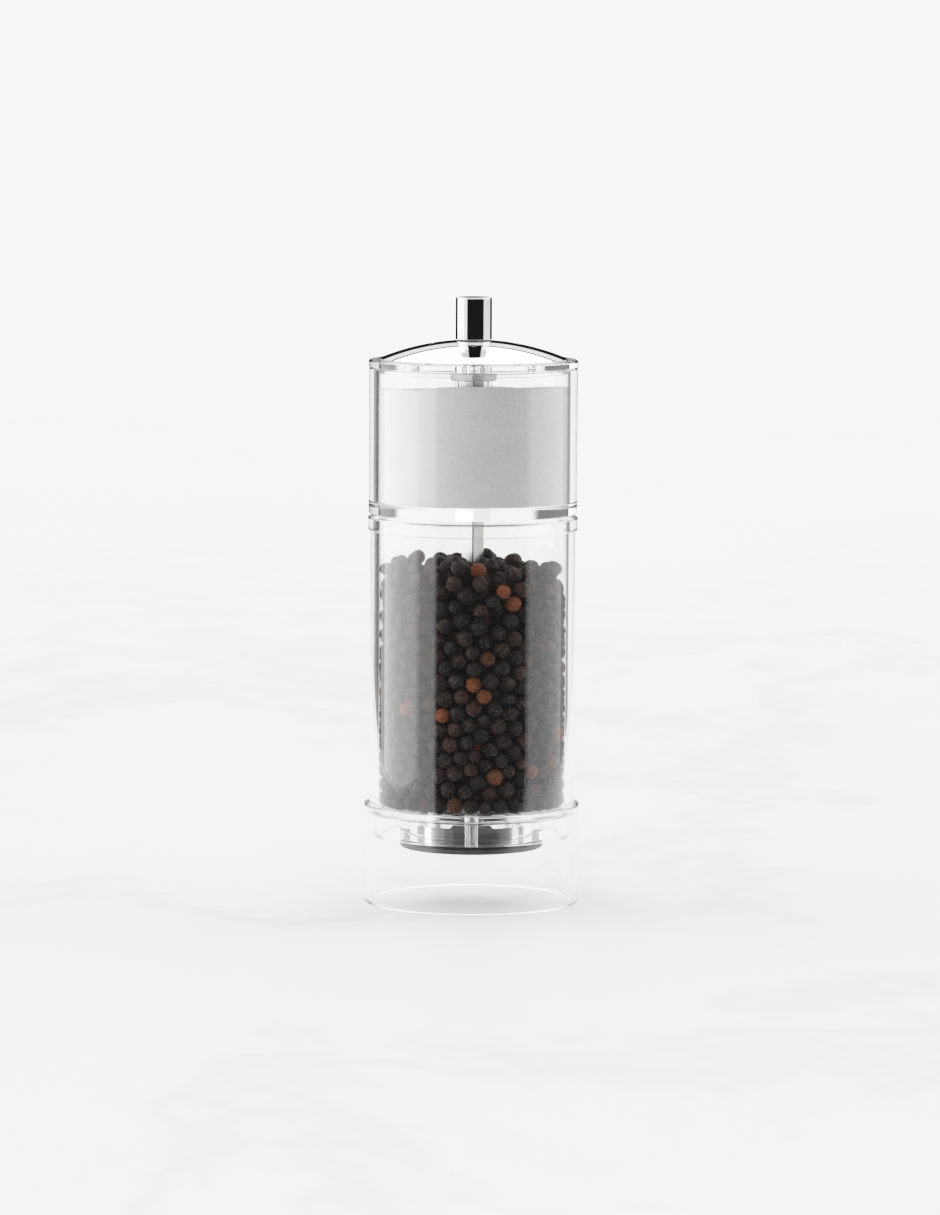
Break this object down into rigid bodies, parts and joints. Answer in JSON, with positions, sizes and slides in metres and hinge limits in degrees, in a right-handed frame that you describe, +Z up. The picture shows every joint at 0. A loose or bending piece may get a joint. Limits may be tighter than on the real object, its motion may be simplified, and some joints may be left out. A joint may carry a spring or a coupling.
{
  "type": "pepper mill",
  "caption": "Clear cylindrical table mill: a salt shaker with a domed metal cap above a pepper grinder, with a square drive shaft, conical burrs and a round grind-adjusting knob.",
  "frame": {"origin": "centre of the mill's foot, on the surface that it stands on", "axes": "+Z up along the shaft and the axis of every turned piece, -Y towards the front"},
  "size_m": [0.056, 0.056, 0.1573],
  "materials": {
    "clear_acrylic": "gloss",
    "chrome": "polished",
    "shaft_metal": "satin",
    "steel": "satin",
    "brass": "satin",
    "burr_ceramic": "matte",
    "plate_plastic": "satin",
    "nylon": "satin",
    "peppercorns": "matte",
    "salt": "matte"
  },
  "bodies": {
    "mill_body": {"base_skirt": "clear_acrylic", "pepper_tube": "clear_acrylic", "tube_collar": "clear_acrylic", "base_plug": "clear_acrylic", "burr_housing": "clear_acrylic", "stator_burr": "burr_ceramic", "grinder_plate": "plate_plastic", "mechanism_screw_1": "steel", "mechanism_screw_2": "steel", "bearing_bridge": "steel", "bridge_bush": "nylon", "peppercorn_fill": "peppercorns"},
    "turning_seat": {"thrust_washer": "nylon", "adjust_spring": "steel"},
    "spindle": {"drive_shaft": "shaft_metal", "rotor_burr": "burr_ceramic", "rotor_clip": "steel"},
    "salt_head": {"salt_floor": "clear_acrylic", "salt_cup": "clear_acrylic", "centre_tube": "clear_acrylic", "salt_fill": "salt"},
    "lid": {"lid_plate": "clear_acrylic", "lid_dome": "chrome"},
    "knob_seat": {"knob_washer": "nylon"},
    "knob": {"knob_shell": "chrome", "knob_insert": "brass"}
  },
  "joints": [
    {"name": "head_turn", "type": "hinge", "parent": "mill_body", "child": "turning_seat", "pos_m": [0, 0, 0.028], "axis": [0, 0, 1], "continuous": true},
    {"name": "burr_adjust", "type": "slide", "parent": "turning_seat", "child": "spindle", "axis": [0, 0, 1], "range_m": [-0.001, 0], "deforming": ["adjust_spring"]},
    {"name": "head_lift", "type": "slide", "parent": "turning_seat", "child": "salt_head", "axis": [0, 0, 1], "range_m": [0, 0.07]},
    {"name": "lid_lift", "type": "slide", "parent": "salt_head", "child": "lid", "axis": [0, 0, 1], "range_m": [0, 0.03]},
    {"name": "knob_lift", "type": "slide", "parent": "lid", "child": "knob_seat", "axis": [0, 0, 1], "range_m": [0, 0.025]},
    {"name": "knob_turn", "type": "hinge", "parent": "knob_seat", "child": "knob", "pos_m": [0, 0, 0.1468], "axis": [0, 0, 1], "range_deg": [0, 515]}
  ],
  "couplings": [
    {"joint": "knob_turn", "follows": "burr_adjust", "rad_per_m": -8976}
  ]
}
